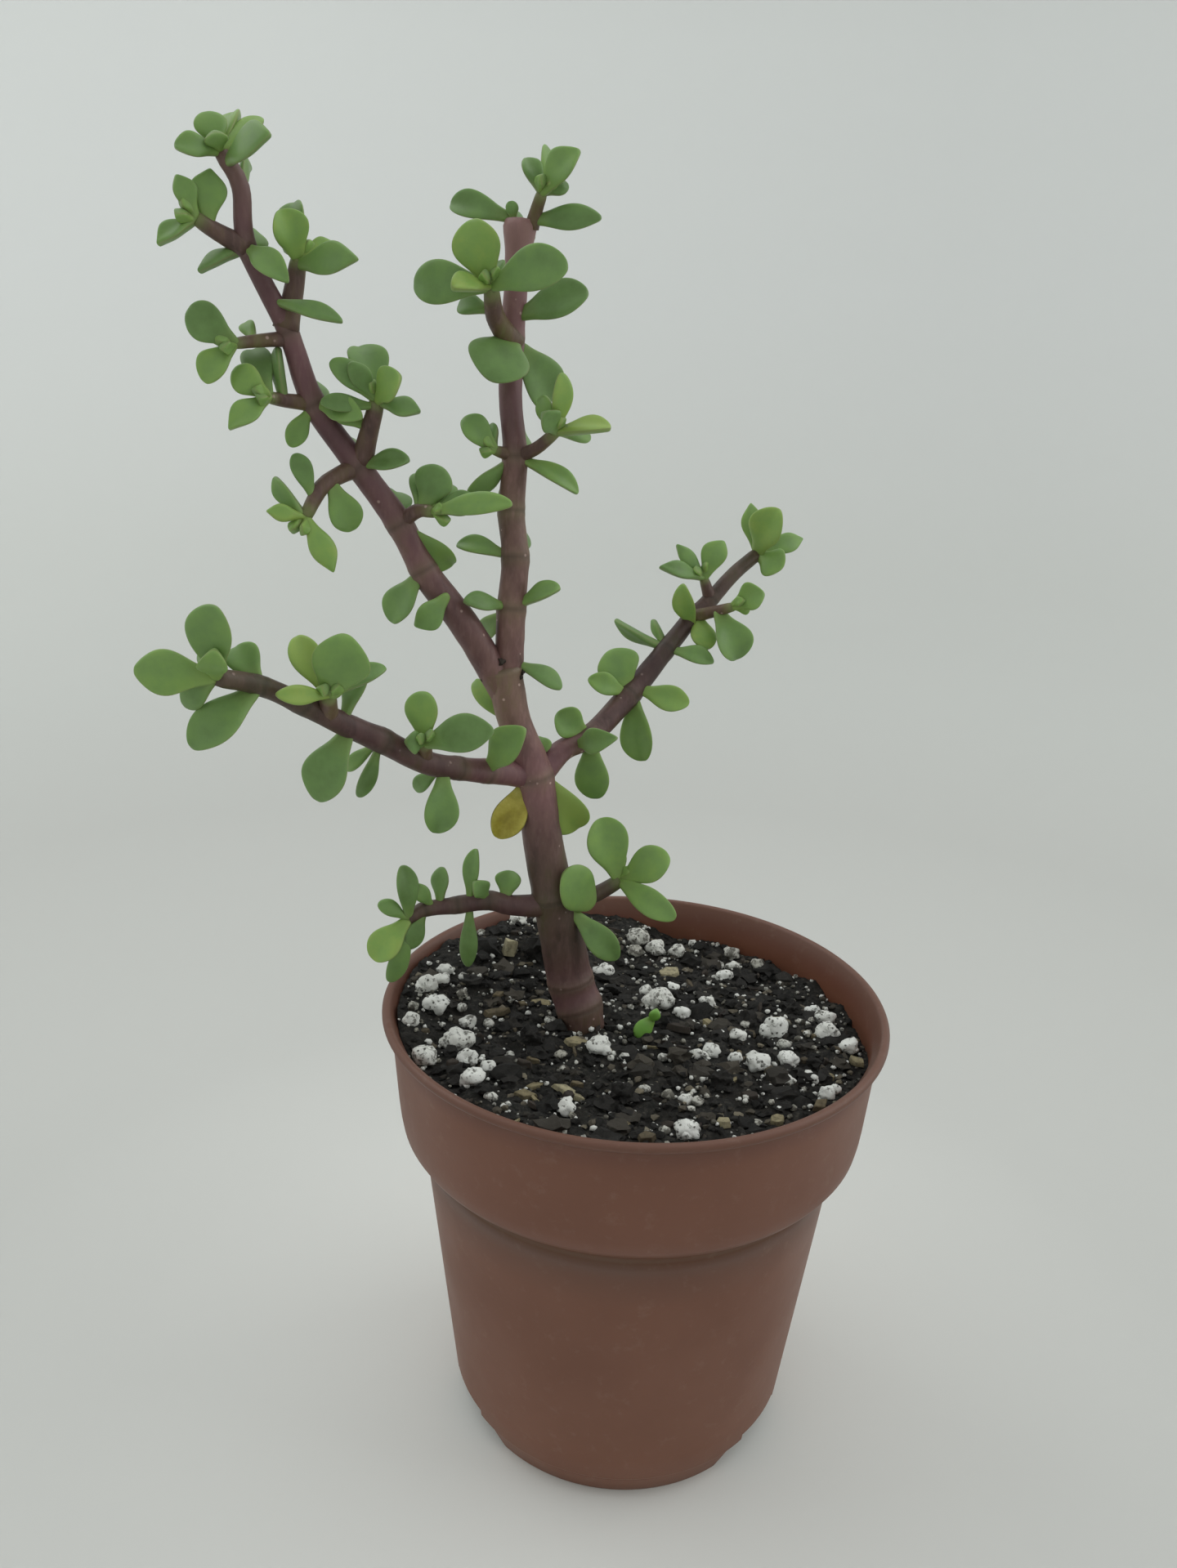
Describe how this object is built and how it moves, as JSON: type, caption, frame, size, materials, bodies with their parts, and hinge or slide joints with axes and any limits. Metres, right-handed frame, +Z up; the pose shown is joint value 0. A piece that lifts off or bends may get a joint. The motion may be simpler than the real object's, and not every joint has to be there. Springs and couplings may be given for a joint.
{
  "type": "potted dwarf jade cutting",
  "caption": "Dwarf jade cutting with a leaning woody trunk and leafy side stems, in a round tapered nursery pot filled with gritty soil.",
  "frame": {"origin": "middle of the whole object's box, at the table under the pot's feet", "axes": "+Z up, -Y towards the viewer in front, +X to the viewer's right"},
  "size_m": [0.1298, 0.1, 0.2466],
  "materials": {
    "pot": "matte moulded plastic, terracotta brown",
    "soil": "rough dark potting mix with pale grains",
    "bark": "smooth purple-brown bark with darker joints",
    "leaf": "satin fleshy green leaf",
    "young_leaf": "satin fleshy yellow-green leaf",
    "yellow_leaf": "satin ageing leaf, yellow-brown"
  },
  "bodies": {
    "root": {"pot": "pot", "soil": "soil", "trunk": "bark", "leader": "bark", "leader_right_shoot": "leaf", "leader_left_shoot": "leaf", "leader_front_shoot": "leaf", "leader_top_shoot": "leaf", "upper_left_stem": "bark", "upper_left_shoot_1": "leaf", "upper_left_shoot_2": "leaf", "upper_left_shoot_3": "leaf", "upper_left_shoot_4": "leaf", "upper_left_shoot_5": "leaf", "upper_left_shoot_6": "leaf", "upper_left_shoot_7": "leaf", "left_stem": "bark", "left_shoot_1": "leaf", "left_shoot_2": "leaf", "right_stem": "bark", "right_shoot_1": "leaf", "right_shoot_2": "leaf", "lower_left_stem": "bark", "lower_right_shoot": "leaf", "seedling": "young_leaf", "yellow_leaf": "yellow_leaf"}
  },
  "joints": []
}
